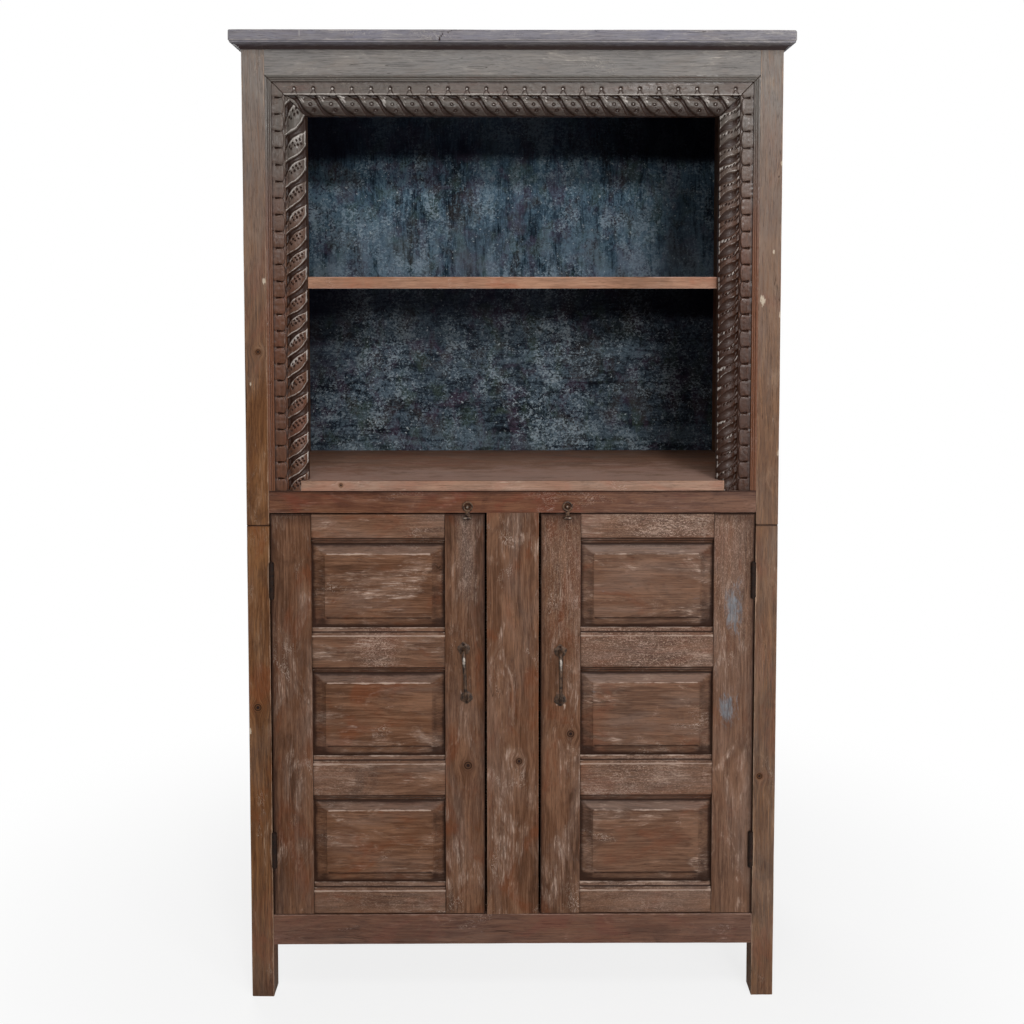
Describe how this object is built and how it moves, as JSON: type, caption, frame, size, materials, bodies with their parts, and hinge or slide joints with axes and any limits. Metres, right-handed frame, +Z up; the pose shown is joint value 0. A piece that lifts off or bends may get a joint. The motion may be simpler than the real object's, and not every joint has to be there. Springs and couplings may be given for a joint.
{
  "type": "cabinet bookcase",
  "caption": "Tall wooden bookcase with an open bay and shelf in a carved frame over a cupboard with two panelled doors, on short legs.",
  "frame": {"origin": "on the floor, under the middle of the bookcase with its handles", "axes": "+X to the right seen from the front, +Y from the front to the back, +Z up"},
  "size_m": [1.04, 0.48, 1.83],
  "materials": {
    "top_wood": "worn and greyed",
    "post_wood": "worn satin",
    "rail_wood": "worn satin",
    "door_wood": "worn satin with pale traces of old paint",
    "shelf_wood": "worn satin",
    "carved_wood": "carved, worn",
    "back_paint": "distressed blue-grey paint",
    "iron": "blackened, forged"
  },
  "bodies": {
    "carcass": {"front_left_lower_post": "post_wood", "front_left_upper_post": "post_wood", "front_right_lower_post": "post_wood", "front_right_upper_post": "post_wood", "rear_left_post": "post_wood", "rear_right_post": "post_wood", "top_board": "top_wood", "cornice_front": "top_wood", "cornice_left": "top_wood", "cornice_right": "top_wood", "header_rail": "top_wood", "middle_rail": "rail_wood", "bottom_rail": "rail_wood", "mullion": "door_wood", "sill_board": "shelf_wood", "display_shelf": "shelf_wood", "cupboard_floor": "door_wood", "cupboard_shelf": "door_wood", "left_side_boards": "post_wood", "right_side_boards": "post_wood", "left_side_rail_top": "rail_wood", "left_side_rail_middle": "rail_wood", "left_side_rail_bottom": "rail_wood", "right_side_rail_top": "rail_wood", "right_side_rail_middle": "rail_wood", "right_side_rail_bottom": "rail_wood", "rear_rail_top": "rail_wood", "rear_rail_middle": "rail_wood", "rear_rail_bottom": "rail_wood", "back_panel_upper": "back_paint", "back_panel_lower": "back_paint", "carved_frame_left": "carved_wood", "carved_frame_right": "carved_wood", "carved_frame_top": "carved_wood", "hinge_frame_leaves": "iron", "hinge_pins": "iron", "frame_nails": "iron", "latch_studs": "iron"},
    "left_door": {"left_door_hinge_stile": "door_wood", "left_door_lock_stile": "door_wood", "left_door_top_rail": "door_wood", "left_door_cross_rails": "door_wood", "left_door_bottom_rail": "door_wood", "left_door_panels": "door_wood", "left_hinge_door_leaves": "iron", "left_door_nails": "iron", "left_handle": "iron", "left_latch_staple": "iron"},
    "right_door": {"right_door_hinge_stile": "door_wood", "right_door_lock_stile": "door_wood", "right_door_top_rail": "door_wood", "right_door_cross_rails": "door_wood", "right_door_bottom_rail": "door_wood", "right_door_panels": "door_wood", "right_hinge_door_leaves": "iron", "right_door_nails": "iron", "right_handle": "iron", "right_latch_staple": "iron"},
    "left_hasp": {"left_hasp": "iron"},
    "right_hasp": {"right_hasp": "iron"}
  },
  "joints": [
    {"name": "left_door_hinge", "type": "hinge", "parent": "carcass", "child": "left_door", "pos_m": [-0.4535, -0.213, 0.549], "axis": [0, 0, -1], "range_deg": [0, 170]},
    {"name": "right_door_hinge", "type": "hinge", "parent": "carcass", "child": "right_door", "pos_m": [0.4535, -0.213, 0.549], "axis": [0, 0, 1], "range_deg": [0, 170]},
    {"name": "left_hasp_hinge", "type": "hinge", "parent": "left_door", "child": "left_hasp", "pos_m": [-0.085, -0.215, 0.928], "axis": [1, 0, 0], "range_deg": [0, 165]},
    {"name": "right_hasp_hinge", "type": "hinge", "parent": "right_door", "child": "right_hasp", "pos_m": [0.103, -0.215, 0.928], "axis": [1, 0, 0], "range_deg": [0, 165]}
  ]
}
